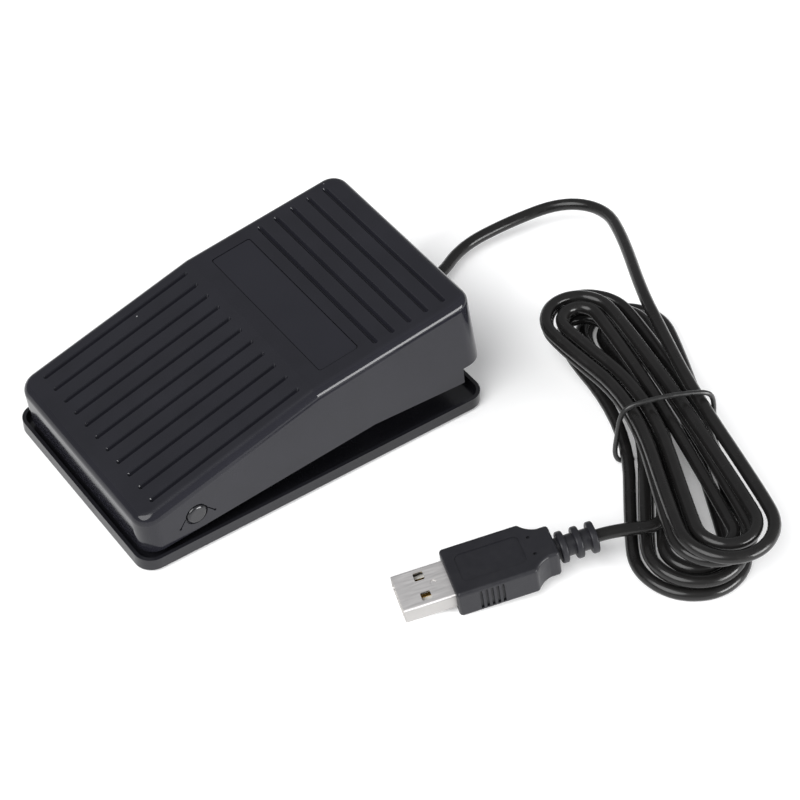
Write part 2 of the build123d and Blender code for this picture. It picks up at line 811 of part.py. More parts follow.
# Cable jacket inside the tray, through the clamp and the grommet
boot_end_y = tray_length / 2 + grommet_boot_length
rear_of_tray = Plane(origin=(cable_x, boot_end_y, cable_z), x_dir=(1, 0, 0), z_dir=(0, -1, 0))
with BuildPart() as inner_cable:
    with BuildSketch(rear_of_tray):
        Circle(cable_diameter / 2)
    extrude(amount=boot_end_y - cable_strip_y)
save(inner_cable.part, "inner_cable")

# Grommet with its groove round the notch and a short tapered boot outside
inner_face_y = tray_length / 2 - tray_wall
with BuildPart() as cable_grommet:
    with BuildSketch(Plane(origin=(cable_x, 0, cable_z), x_dir=(1, 0, 0), z_dir=(0, 0, 1))):
        with BuildLine():
            Polyline(
                (cable_diameter / 2, inner_face_y - grommet_flange_thickness),
                (grommet_flange_radius, inner_face_y - grommet_flange_thickness),
                (grommet_flange_radius, inner_face_y),
                (grommet_neck_radius, inner_face_y),
                (grommet_neck_radius, tray_length / 2),
                (grommet_flange_radius, tray_length / 2),
                (grommet_flange_radius, tray_length / 2 + grommet_flange_thickness),
                (grommet_boot_tip_radius, boot_end_y),
                (cable_diameter / 2, boot_end_y),
                close=True,
            )
        make_face()
    revolve(axis=Axis((cable_x, 0, cable_z), (0, 1, 0)))
save(cable_grommet.part, "cable_grommet")

# Clamp saddle over the cable, and its two screws
clamp_bottom = floor_top + clamp_post_height
with BuildPart() as cable_clamp:
    with BuildSketch(Plane.XZ.offset(-clamp_y)):
        with Locations((cable_x, clamp_bottom + clamp_thickness / 2)):
            RectangleRounded(clamp_length, clamp_thickness, clamp_thickness / 5)
        with Locations((cable_x, cable_z)):
            Circle(cable_diameter / 2 + clamp_thickness)
        with Locations((cable_x, cable_z)):
            Circle(cable_diameter / 2, mode=Mode.SUBTRACT)
        with Locations((cable_x, clamp_bottom - cable_diameter)):
            Rectangle(clamp_length, 2 * cable_diameter, mode=Mode.SUBTRACT)
    extrude(amount=clamp_width / 2, both=True)
    with BuildSketch(Plane.XY.offset(clamp_bottom)):
        with Locations(*clamp_screw_places):
            Circle(clamp_hole_diameter / 2)
    extrude(amount=clamp_thickness, mode=Mode.SUBTRACT)
save(cable_clamp.part, "cable_clamp")
save(add_screws(clamp_screw_places, clamp_bottom + clamp_thickness), "clamp_screws")

# Plug frame: origin at the middle of the shell's tip, x towards the cable, z up through the plug's flat side
heading = radians(plug_heading)
pitch = radians(plug_pitch)
plug_axis = Vector(cos(heading) * cos(pitch), sin(heading) * cos(pitch), sin(pitch))
plug_up = Vector(-cos(heading) * sin(pitch), -sin(heading) * sin(pitch), cos(pitch))
plug_tip = Vector(plug_tip_x, plug_tip_y, shell_height / 2 * cos(pitch))
plug_flat = Plane(origin=plug_tip, x_dir=plug_axis, z_dir=plug_up)
plug_end_on = Plane(origin=plug_tip, x_dir=plug_axis.cross(plug_up) * -1, z_dir=plug_axis)
mould_start = shell_exposed
boot_start = shell_exposed + mould_length
plug_length = boot_start + boot_length

# Metal shell with its two latch windows above and two below
with BuildPart() as plug_shell:
    with BuildSketch(plug_end_on):
        RectangleRounded(shell_width, shell_height, shell_corner_radius)
        RectangleRounded(
            shell_width - 2 * shell_wall, shell_height - 2 * shell_wall, shell_corner_radius - shell_wall,
            mode=Mode.SUBTRACT,
        )
    extrude(amount=shell_exposed + shell_buried)
    with BuildSketch(plug_flat):
        with Locations((window_setback, 0)):
            with GridLocations(0, window_spacing, 1, 2):
                RectangleRounded(window_size, window_size, window_corner_radius)
    extrude(amount=shell_height, both=True, mode=Mode.SUBTRACT)
    with BuildSketch(plug_flat.offset(shell_height / 2)):
        with Locations((dimple_setback, 0)):
            Circle(dimple_diameter / 2)
    extrude(amount=-dimple_depth, mode=Mode.SUBTRACT)
save(plug_shell.part, "plug_shell")

# Insulating tongue in the lower half of the shell, with four contacts on it
tongue_bottom = shell_wall - shell_height / 2
tongue_end = shell_exposed + shell_buried
with BuildPart() as plug_tongue:
    with BuildSketch(plug_end_on.offset(tongue_setback)):
        with Locations((0, tongue_bottom + tongue_thickness / 2)):
            Rectangle(tongue_width, tongue_thickness)
    extrude(amount=tongue_end - tongue_setback)
save(plug_tongue.part, "plug_tongue")

with BuildPart() as plug_contacts:
    with BuildSketch(plug_flat.offset(tongue_bottom + tongue_thickness)):
        with Locations((contact_setback + contact_length / 2, 0)):
            with GridLocations(0, contact_pitch, 1, 4):
                Rectangle(contact_length, contact_width)
    extrude(amount=contact_thickness)
save(plug_contacts.part, "plug_contacts")

# Overmould with its shoulders, grip grooves, bare panel and ribbed boot
with BuildPart() as plug_overmould:
    with BuildSketch(plug_flat):
        with BuildLine() as mould_outline:
            front = Line((mould_start, 0), (mould_start, mould_width / 2))
            side_edge = Line(front @ 1, (mould_start + mould_straight_run, mould_width / 2))
            shoulder = ThreePointArc(
                side_edge @ 1,
                (mould_start + mould_shoulder_run, mould_shoulder_width / 2),
                (mould_start + mould_tail_run, mould_tail_width / 2),
            )
            Polyline(shoulder @ 1, (boot_start, mould_tail_width / 2), (boot_start, 0))
            mirror(about=Plane.XZ)
        make_face()
    extrude(amount=mould_thickness / 2, both=True)
    fillet(plug_overmould.edges(), mould_edge_radius)
    with BuildSketch(plug_flat.offset(mould_thickness / 2)):
        with Locations((mould_start + panel_run, 0)):
            RectangleRounded(panel_length, panel_width, panel_radius)
    extrude(amount=-panel_depth, mode=Mode.SUBTRACT)
    with BuildSketch(plug_flat.offset(mould_thickness / 2)):
        with Locations((mould_start + pin_mark_run, 0)):
            with GridLocations(0, pin_mark_spacing, 1, 2):
                Circle(pin_mark_diameter / 2)
    extrude(amount=-pin_mark_depth, mode=Mode.SUBTRACT)
    for side in (-1, 1):
        with BuildSketch(plug_flat):
            with Locations((mould_start + grip_run, side * mould_width / 2)):
                with GridLocations(grip_pitch, 0, grip_count, 1):
                    Rectangle(grip_width, 2 * grip_depth)
        extrude(amount=grip_height / 2, both=True, mode=Mode.SUBTRACT)
    with BuildSketch(plug_end_on.offset(boot_start)):
        Circle(boot_core_diameter / 2)
    extrude(amount=boot_length)
    rib_pitch = (boot_length - boot_rib_thickness - boot_rib_gap) / (boot_rib_count - 1)
    for index in range(boot_rib_count):
        rib_start = boot_start + boot_rib_gap + index * rib_pitch
        with BuildPart() as rib:
            with BuildSketch(plug_end_on.offset(rib_start)):
                RectangleRounded(boot_rib_width, boot_rib_height, boot_rib_radius)
            extrude(amount=boot_rib_thickness)
            ends = rib.faces().sort_by(Axis(plug_tip, plug_axis))
            fillet([*ends[0].edges(), *ends[-1].edges()], boot_rib_edge_radius)
    with BuildSketch(plug_end_on):
        RectangleRounded(shell_width, shell_height, shell_corner_radius)
    extrude(amount=shell_exposed + shell_buried, mode=Mode.SUBTRACT)
save(plug_overmould.part, "plug_overmould")

# Corners of the hank's loops: left waist, two at the low end, right waist, two at the upper end
loop_step = cable_diameter + loop_gap
waist_step = cable_diameter + waist_gap
level_height = cable_diameter + level_gap
corner_turns = (0.0, 0.2, 0.3, 0.5, 0.7, 0.8)
# Each stage: the loop at which it starts, its level, the spiral's place there and its direction
stages = ((0.0, 0, -0.5, 1), (2.0, 1, 1.5, -1), (3.5, 3, 0.0, 1), (5.5, 4, 2.0, -1))
last_loop = 7.5
inner_place = 2


def hank_point(along, across, level, end, swing=0.0):
    """A world point of the hank from its place along and across it, its level and the end it belongs to."""
    middle = radians((hank_low_heading + hank_up_heading) / 2)
    turn = {"low": radians(hank_low_heading), "up": radians(hank_up_heading), "waist": middle}[end] + radians(swing)
    below, above = int(level), min(int(level) + 1, len(level_lean_shares) - 1)
    part_way = level - below
    lean, slide = (
        cable_diameter * (shares[below] * (1 - part_way) + shares[above] * part_way)
        for shares in (level_lean_shares, level_slide_shares)
    )
    return (
        hank_center[0] + along * cos(turn) - across * sin(turn) - lean * sin(middle) + slide * cos(middle),
        hank_center[1] + along * sin(turn) + across * cos(turn) + lean * cos(middle) + slide * sin(middle),
        cable_diameter / 2 + level_height * level,
    )


def loop_corners():
    """The corners of all loops, spiralling in and out, each climb along a run at the waist."""
    points = []
    for index in range(6 * (int(last_loop) + 1)):
        loop, corner = divmod(index, 6)
        turns = loop + corner_turns[corner]
        if turns > last_loop:
            break
        number = max(place for place, stage in enumerate(stages) if turns >= stage[0])
        start, level, first_place, direction = stages[number]
        place = first_place + direction * (turns - start)
        if corner in (1, 2):
            half = inner_low_half + (inner_place - place) * loop_step
            points.append(hank_point(
                low_reach - place * loop_step, -half if corner == 1 else half, level, "low", low_swings[level]))
        elif corner in (4, 5):
            half = inner_up_half + (inner_place - place) * loop_step
            points.append(hank_point(
                -up_reach + place * loop_step, half if corner == 4 else -half, level, "up", up_swings[level]))
        else:
            half = (inner_place - place) * waist_step
            before = stages[number - 1][1] if number else crossing_level
            height = (level + before) / 2 if turns == start else level
            points.append(hank_point(0, -half if corner == 0 else half, height, "waist"))
    return points


def corner_radii(points):
    """As large an arc at each corner as its two runs allow."""
    vectors = [Vector(*point) for point in points]
    radii = []
    for before, corner, after in zip(vectors, vectors[1:], vectors[2:]):
        turn = radians((corner - before).get_angle(after - corner))
        shorter = min((corner - before).length, (after - corner).length)
        radii.append(arc_share * shorter / tan(turn / 2))
    return radii


def tube(points, diameter, name):
    """A round tube along straight runs joined by tangent arcs, saved under its name."""
    radii = corner_radii(points)
    with BuildPart() as solid:
        with BuildLine() as route:
            FilletPolyline(*points, radius=radii)
        line = route.wire()
        with BuildSketch(Plane(origin=line @ 0, z_dir=line % 0)):
            Circle(diameter / 2)
        sweep(path=line)
    save(solid.part, name)
    print(name, "length", round(line.length, 1), "radii", [round(radius, 1) for radius in radii])
    print(name, "volume over section times length",
          round(solid.part.volume / (pi * diameter ** 2 / 4 * line.length), 4))
    return line


def least_gap(line, diameter):
    """The least clear distance between stretches of the line that aren't neighbours, on points 0.5 mm apart."""
    count = int(line.length * 2)
    points = [line @ (index / count) for index in range(count + 1)]
    cell = 2 * diameter
    cells = {}
    for index, point in enumerate(points):
        cells.setdefault((int(point.X // cell), int(point.Y // cell), int(point.Z // cell)), []).append(index)
    least = line.length
    for (i, j, k), members in cells.items():
        near = [
            other
            for di in (-1, 0, 1) for dj in (-1, 0, 1) for dk in (-1, 0, 1)
            for other in cells.get((i + di, j + dj, k + dk), [])
        ]
        for index in members:
            for other in near:
                if other - index > 8 * diameter:
                    least = min(least, (points[other] - points[index]).length)
    return least - diameter


boot_end = plug_tip + plug_axis * plug_length
tail_bend = boot_end + plug_axis * tail_first_run
crossing = [Vector(*hank_point(along, across, crossing_level, end)) for along, across, end in crossing_points]
hank_start = crossing[0] + (tail_bend - crossing[0]).normalized() * hank_start_run
end_along, end_across, end_side = hank_end_point
hank_end = Vector(*hank_point(end_along, end_across, hank_end_level, end_side))
hank_corners = [hank_start, *crossing, *[Vector(*point) for point in loop_corners()], hank_end]
leaving = (hank_corners[-1] - hank_corners[-2]).normalized()

# Tail from the plug's boot to the hank, the hank itself, and the lead back to the grommet
tube([boot_end, tail_bend, hank_start], cable_diameter, "tail_cord")
hank_line = tube(hank_corners, cable_diameter, "cord_hank")
print("cord_hank least gap to itself", round(least_gap(hank_line, cable_diameter), 2))
exit_point = Vector(cable_x, boot_end_y, cable_z)
lead_route = [exit_point, *[Vector(*point) for point in lead_points], hank_end + leaving * lead_join_run, hank_end]
tube(lead_route, cable_diameter, "lead_cord")

# Tie round the hank's waist, its two ends down on the ground
tube([Vector(*hank_point(tie_reach, across, crossing_level, "waist")[:2], height) for across, height in tie_points],
     tie_diameter, "hank_tie")
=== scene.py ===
# %% [markdown]
# A foot switch for a computer, photographed on white
#
# The object is a black pedal over a shallow black tray. Its cable is tied in a hank and ends in a plug. The
# solid model already has every part at its true size, so this notebook adds what solids lack: finishes with
# grain and gloss, the cable as one smooth run, the wire tie, and the small marks of moulding and soldering.

# %% Load the solid model
import bpy
import bmesh
from math import cos, pi, radians, sin, tan
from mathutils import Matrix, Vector


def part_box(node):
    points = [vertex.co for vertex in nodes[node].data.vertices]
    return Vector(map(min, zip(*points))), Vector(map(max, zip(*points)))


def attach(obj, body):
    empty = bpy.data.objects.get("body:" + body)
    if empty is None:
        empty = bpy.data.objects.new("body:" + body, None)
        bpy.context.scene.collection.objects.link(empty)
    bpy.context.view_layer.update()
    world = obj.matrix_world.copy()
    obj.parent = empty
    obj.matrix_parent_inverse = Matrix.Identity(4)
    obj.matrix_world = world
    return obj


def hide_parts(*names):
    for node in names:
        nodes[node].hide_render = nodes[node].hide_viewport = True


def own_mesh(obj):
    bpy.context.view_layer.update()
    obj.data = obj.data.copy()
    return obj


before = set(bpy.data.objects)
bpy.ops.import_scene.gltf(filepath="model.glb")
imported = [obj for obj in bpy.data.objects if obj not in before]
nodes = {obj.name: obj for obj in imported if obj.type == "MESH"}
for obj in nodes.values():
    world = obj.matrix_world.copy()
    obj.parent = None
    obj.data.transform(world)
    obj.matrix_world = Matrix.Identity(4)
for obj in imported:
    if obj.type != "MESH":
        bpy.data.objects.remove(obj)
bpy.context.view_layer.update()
MM = 0.001

# %% [markdown]
# The camera
#
# The photograph looks down on the object from its front right, with a long lens, so that the parallel edges
# hardly close up. The camera is set by a target on the floor, a heading, a height angle and a distance.
# That is easier to correct than a bare position and rotation. A small shift puts the lens's centre where
# the photograph has it.

# %% Camera
CAMERA_TARGET = Vector((19.2, 31.0, 0.6)) * MM
CAMERA_HEADING = radians(54.74)
CAMERA_HEIGHT_ANGLE = radians(45.25)
CAMERA_DISTANCE = 626.4 * MM
LENS_LENGTH = 107.97
LENS_SHIFT = (0.009, 0.0082)
NEAREST_SEEN = 10 * MM


def away(heading, height_angle):
    """The direction from the object to something that stands at that heading and height angle."""
    level = cos(height_angle)
    return Vector((sin(heading) * level, -cos(heading) * level, sin(height_angle)))


camera = bpy.data.objects.new("camera", bpy.data.cameras.new("camera"))
bpy.context.scene.collection.objects.link(camera)
camera.location = CAMERA_TARGET + away(CAMERA_HEADING, CAMERA_HEIGHT_ANGLE) * CAMERA_DISTANCE
camera.rotation_euler = (pi / 2 - CAMERA_HEIGHT_ANGLE, 0, CAMERA_HEADING)
camera.data.lens = LENS_LENGTH
camera.data.shift_x, camera.data.shift_y = LENS_SHIFT
camera.data.clip_start = NEAREST_SEEN
bpy.context.scene.camera = camera
print("camera", round(CAMERA_DISTANCE, 3), "m away, lens", LENS_LENGTH, "mm")

# %% [markdown]
# Light and floor
#
# Black gloss plastic shows what it mirrors more than its own colour. Here the pedal's sides mirror the
# white floor, which gives them their even grey, while its top mirrors the dim upper part of the studio and
# stays nearly black. So the floor is bright and the sky is dim. A soft box stands low at the right and
# rear. It draws the crisp pale line along the top edge of the pedal's raised part. A broad sun lights the
# floor without hard shadows, and stands where no edge mirrors it. Three lights round the object would be
# simpler to set, but black gloss would mirror each one.

# %% Studio
bpy.context.scene.view_settings.view_transform = "Standard"
FLOOR_REACH = 6.0
SKY_COLOR = (0.97, 0.98, 1.0, 1.0)
SKY_STRENGTH = 0.36
SUN_STRENGTH = 3.4
SUN_HEADING = radians(12)
SUN_HEIGHT_ANGLE = radians(46)
SUN_SPREAD = radians(50)
SUN_DISTANCE = 3.0
SOFT_BOX_POWER = 20.5
SOFT_BOX_HEADING = radians(119)
SOFT_BOX_HEIGHT_ANGLE = radians(14)
SOFT_BOX_DISTANCE = 1.3
SOFT_BOX_WIDTH = 0.8
SOFT_BOX_HEIGHT = 0.5


def make_floor():
    """A large pale sheet under the object."""
    mesh = bpy.data.meshes.new("floor")
    corners = [(FLOOR_REACH * x, FLOOR_REACH * y, 0) for x, y in ((-1, -1), (1, -1), (1, 1), (-1, 1))]
    mesh.from_pydata(corners, [], [(0, 1, 2, 3)])
    floor = bpy.data.objects.new("floor", mesh)
    bpy.context.scene.collection.objects.link(floor)
    return floor


def add_light(name, kind, energy, direction, distance):
    """A light at a distance from the target, turned to face it."""
    data = bpy.data.lights.new(name, kind)
    data.energy = energy
    light = bpy.data.objects.new(name, data)
    bpy.context.scene.collection.objects.link(light)
    light.location = CAMERA_TARGET + direction * distance
    light.rotation_euler = direction.to_track_quat("Z", "Y").to_euler()
    return light


floor = make_floor()
sky = bpy.data.worlds.new("studio")
bpy.context.scene.world = sky
sky.use_nodes = True
background = sky.node_tree.nodes["Background"]
background.inputs["Color"].default_value = SKY_COLOR
background.inputs["Strength"].default_value = SKY_STRENGTH

sun = add_light("broad_sun", "SUN", SUN_STRENGTH, away(SUN_HEADING, SUN_HEIGHT_ANGLE), SUN_DISTANCE)
sun.data.angle = SUN_SPREAD
toward_box = away(SOFT_BOX_HEADING, SOFT_BOX_HEIGHT_ANGLE)
soft_box = add_light("soft_box", "AREA", SOFT_BOX_POWER, toward_box, SOFT_BOX_DISTANCE)
soft_box.data.shape = "RECTANGLE"
soft_box.data.size = SOFT_BOX_WIDTH
soft_box.data.size_y = SOFT_BOX_HEIGHT
print("lights:", sun.name, soft_box.name, "and the sky at", SKY_STRENGTH)

# %% [markdown]
# Building finishes from nodes
#
# Every finish is a small tree of texture nodes that feeds one Principled shader. Most trees need the same
# three things: a position on the piece, a noise at some grain size, and a bump. Helpers that build these
# keep each recipe down to the lines that make it different. The noise takes object coordinates, so the
# grain has its real size in metres and rides along with the piece when the pedal moves.


# %% Helpers for finishes
def new_finish(name, color, roughness, metallic=0.0, ior=1.5):
    """A material with its Principled shader set to a plain start."""
    finish = bpy.data.materials.new(name)
    finish.use_nodes = True
    shader = finish.node_tree.nodes["Principled BSDF"]
    shader.inputs["Base Color"].default_value = (*color, 1.0)
    shader.inputs["Roughness"].default_value = roughness
    shader.inputs["Metallic"].default_value = metallic
    shader.inputs["IOR"].default_value = ior
    return finish


def add_node(finish, kind, **settings):
    """A node in the finish, with its inputs or properties set by name."""
    node = finish.node_tree.nodes.new(kind)
    for key, value in settings.items():
        if hasattr(node, key):
            setattr(node, key, value)
        else:
            node.inputs[key.replace("_", " ").title()].default_value = value
    return node


def join(finish, source, target):
    """A link from one socket to another."""
    finish.node_tree.links.new(source, target)


def place_on_piece(finish):
    """The object coordinates socket."""
    return add_node(finish, "ShaderNodeTexCoord").outputs["Object"]


def grain(finish, size, detail=2.0, stretch=(1, 1, 1)):
    """A noise whose grains are about the given size in metres."""
    mapping = add_node(finish, "ShaderNodeMapping")
    mapping.inputs["Scale"].default_value = stretch
    join(finish, place_on_piece(finish), mapping.inputs["Vector"])
    noise = add_node(finish, "ShaderNodeTexNoise", scale=1.0 / size, detail=detail)
    join(finish, mapping.outputs["Vector"], noise.inputs["Vector"])
    return noise.outputs["Fac"]


def spread(finish, value, low, high, start=0.3, stop=0.7):
    """The value stretched from start..stop to low..high, clamped."""
    node = add_node(finish, "ShaderNodeMapRange")
    for socket, number in (("From Min", start), ("From Max", stop), ("To Min", low), ("To Max", high)):
        node.inputs[socket].default_value = number
    join(finish, value, node.inputs["Value"])
    return node.outputs["Result"]


def blend(finish, factor, first, second):
    """A colour mixed from two by a factor; each may be a colour or a socket."""
    node = add_node(finish, "ShaderNodeMix", data_type="RGBA")
    join(finish, factor, node.inputs["Factor"])
    for index, color in ((6, first), (7, second)):
        if isinstance(color, tuple):
            node.inputs[index].default_value = (*color, 1.0)
        else:
            join(finish, color, node.inputs[index])
    return node.outputs[2]


def into(finish, source, socket):
    """The source goes to one of the shader's sockets."""
    join(finish, source, finish.node_tree.nodes["Principled BSDF"].inputs[socket])


def raise_bump(finish, height, depth):
    """The height, from 0 to 1, is felt as a relief of the given depth in metres."""
    bump = add_node(finish, "ShaderNodeBump", distance=depth)
    join(finish, height, bump.inputs["Height"])
    into(finish, bump.outputs["Normal"], "Normal")
    return bump


def dress(finish, *names):
    """The finish goes on the named solids."""
    for name in names:
        nodes[name].data.materials.clear()
        nodes[name].data.materials.append(finish)
    print(finish.name, "on", ", ".join(names))


# %% [markdown]
# The pedal's plastic
#
# The cover is moulded in black plastic from a tool with two finishes. Its walls come from a polished tool
# and are glossy. Its top, where a shoe rests, comes from a tool eaten rough by sparks, so it is satin. Both
# could be separate materials on chosen faces, but the two melt into each other round the edge, so one
# material reads the direction that the surface faces and turns from gloss to satin. A few pale specks of
# dust lie on it, as on any black gloss.


# %% Pedal and tray finishes
def facing_up(finish, start, stop):
    """0 on walls and 1 on faces that look up."""
    turned = add_node(finish, "ShaderNodeSeparateXYZ")
    join(finish, add_node(finish, "ShaderNodeTexCoord").outputs["Normal"], turned.inputs["Vector"])
    return spread(finish, turned.outputs["Z"], 0.0, 1.0, start, stop)


def dust(finish, spacing, share):
    """1 on a few small specks: the middles of the rarest cells of a scattered pattern."""
    cells = add_node(finish, "ShaderNodeTexVoronoi", scale=1.0 / spacing)
    join(finish, place_on_piece(finish), cells.inputs["Vector"])
    near = spread(finish, cells.outputs["Distance"], 1.0, 0.0, 0.03, 0.06)
    rare = add_node(finish, "ShaderNodeMath", operation="GREATER_THAN")
    tint = add_node(finish, "ShaderNodeSeparateColor")
    join(finish, cells.outputs["Color"], tint.inputs["Color"])
    join(finish, tint.outputs[0], rare.inputs[0])
    rare.inputs[1].default_value = 1 - share
    both = add_node(finish, "ShaderNodeMath", operation="MULTIPLY")
    join(finish, near, both.inputs[0])
    join(finish, rare.outputs[0], both.inputs[1])
    return both.outputs[0]


def pedal_plastic():
    """Black plastic: polished on the walls, fine satin on top."""
    finish = new_finish("pedal_plastic", (0.012, 0.012, 0.015), 0.3, ior=1.35)
    top = facing_up(finish, 0.8, 0.96)
    mottle = grain(finish, 9 * MM, 3.0)
    black = blend(finish, mottle, (0.010, 0.010, 0.013), (0.015, 0.015, 0.020))
    into(finish, blend(finish, dust(finish, 4 * MM, 0.05), black, (0.3, 0.3, 0.31)), "Base Color")
    worn = spread(finish, grain(finish, 14 * MM, 4.0), -0.03, 0.05)
    rough = add_node(finish, "ShaderNodeMath", operation="ADD")
    join(finish, spread(finish, top, 0.1, 0.36, 0.0, 1.0), rough.inputs[0])
    join(finish, worn, rough.inputs[1])
    into(finish, rough.outputs[0], "Roughness")
    bump = raise_bump(finish, grain(finish, 0.35 * MM, 1.0), 0.012 * MM)
    join(finish, top, bump.inputs["Strength"])
    return finish


def tray_plastic():
    """The tray's black plastic, one even gloss with faint flow marks."""
    finish = new_finish("tray_plastic", (0.01, 0.01, 0.012), 0.2, ior=1.38)
    black = blend(finish, grain(finish, 12 * MM, 3.0), (0.007, 0.007, 0.009), (0.014, 0.014, 0.017))
    into(finish, black, "Base Color")
    into(finish, spread(finish, grain(finish, 6 * MM, 4.0, (1, 0.3, 1)), 0.14, 0.28), "Roughness")
    raise_bump(finish, grain(finish, 3 * MM), 0.004 * MM)
    return finish


dress(pedal_plastic(), "pedal_cover")
dress(tray_plastic(), "base_tray")

# %% [markdown]
# The label and the pivot studs
#
# The label is a smooth bare film in a shallow recess across the pedal. Its finish is a little glossier and
# bluer than the plastic round it. The studs are pins with a domed end, and fine rings from the tool show in
# their gloss.


# %% Label and stud finishes
def label_film():
    """Bare blue-black film with a faint orange-peel surface."""
    finish = new_finish("label_film", (0.012, 0.012, 0.016), 0.26, ior=1.4)
    black = blend(finish, grain(finish, 20 * MM), (0.011, 0.011, 0.015), (0.015, 0.015, 0.0205))
    into(finish, black, "Base Color")
    into(finish, spread(finish, grain(finish, 8 * MM, 0.0), 0.275, 0.305, 0.0, 1.0), "Roughness")
    raise_bump(finish, grain(finish, 1.2 * MM), 0.003 * MM)
    return finish


def turned_stud():
    """Gloss black with fine rings about the pin's own axis."""
    finish = new_finish("turned_stud", (0.01, 0.01, 0.012), 0.2)
    rings = add_node(finish, "ShaderNodeTexWave", wave_type="RINGS", rings_direction="X", scale=900.0)
    middle = add_node(finish, "ShaderNodeMapping")
    low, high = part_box("pivot_stud_right")
    middle.inputs["Location"].default_value = (0, -(low.y + high.y) / 2, -(low.z + high.z) / 2)
    join(finish, place_on_piece(finish), middle.inputs["Vector"])
    join(finish, middle.outputs["Vector"], rings.inputs["Vector"])
    black = blend(finish, rings.outputs["Fac"], (0.008, 0.008, 0.01), (0.014, 0.014, 0.016))
    into(finish, black, "Base Color")
    into(finish, spread(finish, rings.outputs["Fac"], 0.12, 0.3, 0.0, 1.0), "Roughness")
    return finish


dress(label_film(), "label_plate")
dress(turned_stud(), "pivot_stud_left", "pivot_stud_right")

# %% [markdown]
# Rubber and metal
#
# Rubber is nearly black too, but dull: its roughness is high and dust settles in it. The metals have no
# colour of their own below the gloss, so their tint goes into the base colour with the metallic value at 1,
# and what tells them apart is how they were worked. Wire is drawn lengthwise, strip is rolled, a can is
# pressed and a screw is plated.


# %% Rubber and metal finishes
def moulded_rubber():
    """Dull black rubber with a dusty bloom."""
    finish = new_finish("moulded_rubber", (0.02, 0.02, 0.02), 0.7)
    dusty = blend(finish, grain(finish, 1.5 * MM, 4.0), (0.012, 0.012, 0.012), (0.035, 0.034, 0.033))
    into(finish, dusty, "Base Color")
    into(finish, spread(finish, grain(finish, 3 * MM), 0.55, 0.85), "Roughness")
    raise_bump(finish, grain(finish, 0.25 * MM, 3.0), 0.03 * MM)
    return finish


def worked_metal(name, dark, light, size, stretch, smooth, dull):
    """A metal whose grain runs the way that it was worked."""
    finish = new_finish(name, light, dull, 1.0)
    streaks = grain(finish, size, 4.0, stretch)
    into(finish, blend(finish, streaks, dark, light), "Base Color")
    into(finish, spread(finish, streaks, smooth, dull), "Roughness")
    raise_bump(finish, streaks, 0.004 * MM)
    return finish


feet = ["foot_front_left", "foot_front_right", "foot_rear_left", "foot_rear_right"]
dress(moulded_rubber(), *feet, "cable_grommet")
dress(
    worked_metal("rolled_strip", (0.5, 0.5, 0.5), (0.78, 0.78, 0.78), 0.5 * MM, (1, 0.1, 1), 0.15, 0.32),
    "switch_lever",
)
dress(
    worked_metal("plated_screw", (0.45, 0.46, 0.5), (0.75, 0.75, 0.76), 0.6 * MM, (1, 1, 1), 0.22, 0.42),
    "board_screws", "clamp_screws",
)
dress(
    worked_metal("pressed_can", (0.6, 0.6, 0.61), (0.85, 0.85, 0.86), 2 * MM, (1, 1, 3), 0.12, 0.3),
    "crystal_can",
)
dress(
    worked_metal("gold_flash", (0.55, 0.34, 0.1), (0.85, 0.6, 0.22), 0.5 * MM, (1, 0.2, 1), 0.15, 0.35),
    "plug_contacts", "switch_terminals",
)

# %% [markdown]
# The cable
#
# The cable is about 1.9 m long and 3.3 mm thick. It leaves the tray at the rear, arcs over to the right,
# and lies folded in a tied hank that ends in the plug. A rigid tube of arcs would look like bent wire, so
# here the whole cable is one smooth spline. Its free stretches are a few listed points, and the
# hank's turns come from a formula: each turn has a point on each side of the tied waist and six points
# round each fold. The turns spiral out and in again, and climb a layer at the waist where the spiral
# reverses, as they do when someone winds a cable by hand.

# %% Measures of the cable and its hank
CABLE = 3.3
HANK_CENTER = (67.5, 82.3)
LOW_HEADING = -27.0
UP_HEADING = -10.5
LEVEL_HEIGHT = CABLE + 0.6
LOOP_STEP = CABLE + 0.9
WAIST_STEP = CABLE + 1.1
INNER_PLACE = 2
INNER_HALVES = {"low": 4.4, "up": 3.9}
REACHES = {"low": 57.0, "up": 45.5}
SWINGS = {"low": (-7.0, -5.0, 0.0, 4.0, 8.0), "up": (-9.0, -5.0, 0.0, 4.0, 8.0)}
# Each level's shift across the hank and along it, in cable thicknesses
LEAN_SHARES = (0.91, 0.45, 0.0, -0.76, -1.0)
SLIDE_SHARES = (-0.61, -0.3, 0.0, 0.3, 0.61)
CROSSING_LEVEL = 2
LAST_LOOP = 7.5
FOLD_START = 0.17
FOLD_STEP = 0.032
# Each stage: the loop at which it starts, its level, the spiral's place there and its direction
STAGES = ((0.0, 0, -0.5, 1), (2.0, 1, 1.5, -1), (3.5, 3, 0.0, 1), (5.5, 4, 2.0, -1))


def hank_point(along, across, level, end, swing=0.0):
    """A point of the hank, in millimetres, from its place along and across, its level and its end."""
    middle = radians((LOW_HEADING + UP_HEADING) / 2)
    headings = {"low": radians(LOW_HEADING), "up": radians(UP_HEADING), "waist": middle}
    turn = headings[end] + radians(swing)
    below, above = int(level), min(int(level) + 1, len(LEAN_SHARES) - 1)
    lean, slide = (
        CABLE * (shares[below] * (1 - level + below) + shares[above] * (level - below))
        for shares in (LEAN_SHARES, SLIDE_SHARES)
    )
    x = HANK_CENTER[0] + along * cos(turn) - across * sin(turn) - lean * sin(middle) + slide * cos(middle)
    y = HANK_CENTER[1] + along * sin(turn) + across * cos(turn) + lean * cos(middle) + slide * sin(middle)
    return Vector((x, y, CABLE / 2 + LEVEL_HEIGHT * level))


print("levels in the hank:", len(LEAN_SHARES))


